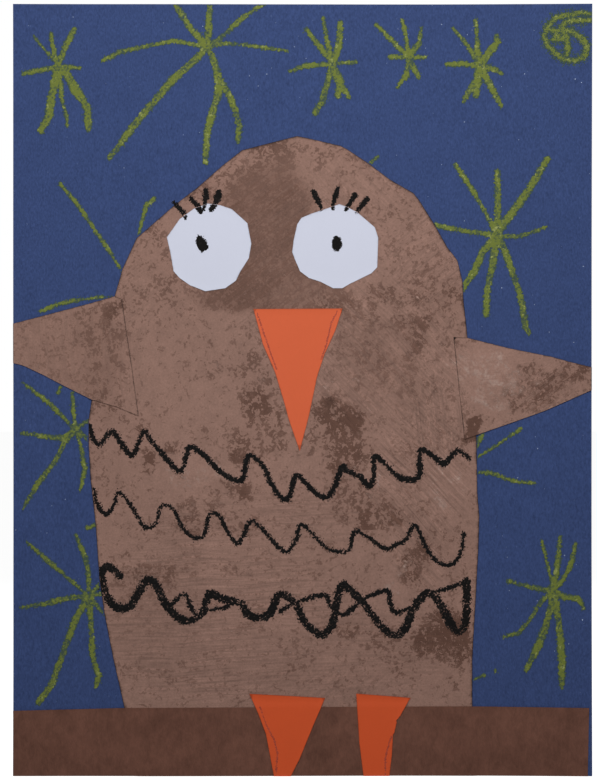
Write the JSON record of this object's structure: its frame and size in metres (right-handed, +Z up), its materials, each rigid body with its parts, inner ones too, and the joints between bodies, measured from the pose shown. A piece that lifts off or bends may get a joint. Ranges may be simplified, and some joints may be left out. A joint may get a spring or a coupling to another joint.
{
  "type": "cut-paper owl collage",
  "caption": "Flat upright collage: a painted paper owl with white eyes and orange beak and legs, glued on a blue sheet with pastel stars above a brown strip.",
  "frame": {"origin": "centre of the blue sheet's back face", "axes": "+X to the viewer's right, +Z up the sheet, +Y out of the back face, so the picture faces -Y"},
  "size_m": [0.2286, 0.0012, 0.3048],
  "materials": {
    "blue_paper": "matte construction paper with short fibres",
    "painted_paper": "paper painted in two browns, sponged and dry-brushed, matte to satin",
    "brown_paper": "matte construction paper",
    "orange_paper": "smooth matte coloured paper",
    "white_paper": "smooth white drawing paper",
    "green_pastel": "yellow-green oil pastel, waxy",
    "black_pastel": "black oil pastel, waxy",
    "pencil": "graphite, slightly shiny",
    "glue": "dry glue stick film"
  },
  "bodies": {
    "root": {"backing_sheet": "blue_paper", "beak": "orange_paper", "beak_glue": "glue", "beak_pencil_lines": "pencil", "body_glue": "glue", "feather_row_bottom": "black_pastel", "feather_row_middle": "black_pastel", "feather_row_top": "black_pastel", "ground_strip": "brown_paper", "left_eye": "white_paper", "left_eye_glue": "glue", "left_lashes": "black_pastel", "left_leg": "orange_paper", "left_leg_glue": "glue", "left_leg_pencil_line": "pencil", "left_pupil": "black_pastel", "left_wing": "painted_paper", "left_wing_glue": "glue", "owl_body": "painted_paper", "right_eye": "white_paper", "right_eye_glue": "glue", "right_lashes": "black_pastel", "right_leg": "orange_paper", "right_leg_glue": "glue", "right_leg_pencil_line": "pencil", "right_pupil": "black_pastel", "right_wing": "painted_paper", "right_wing_glue": "glue", "sky_spiral": "green_pastel", "star_01": "green_pastel", "star_02": "green_pastel", "star_03": "green_pastel", "star_04": "green_pastel", "star_05": "green_pastel", "star_06": "green_pastel", "star_07": "green_pastel", "star_08": "green_pastel", "star_09": "green_pastel", "star_10": "green_pastel", "star_11": "green_pastel", "star_12": "green_pastel", "star_13": "green_pastel", "strip_glue": "glue"}
  },
  "joints": []
}
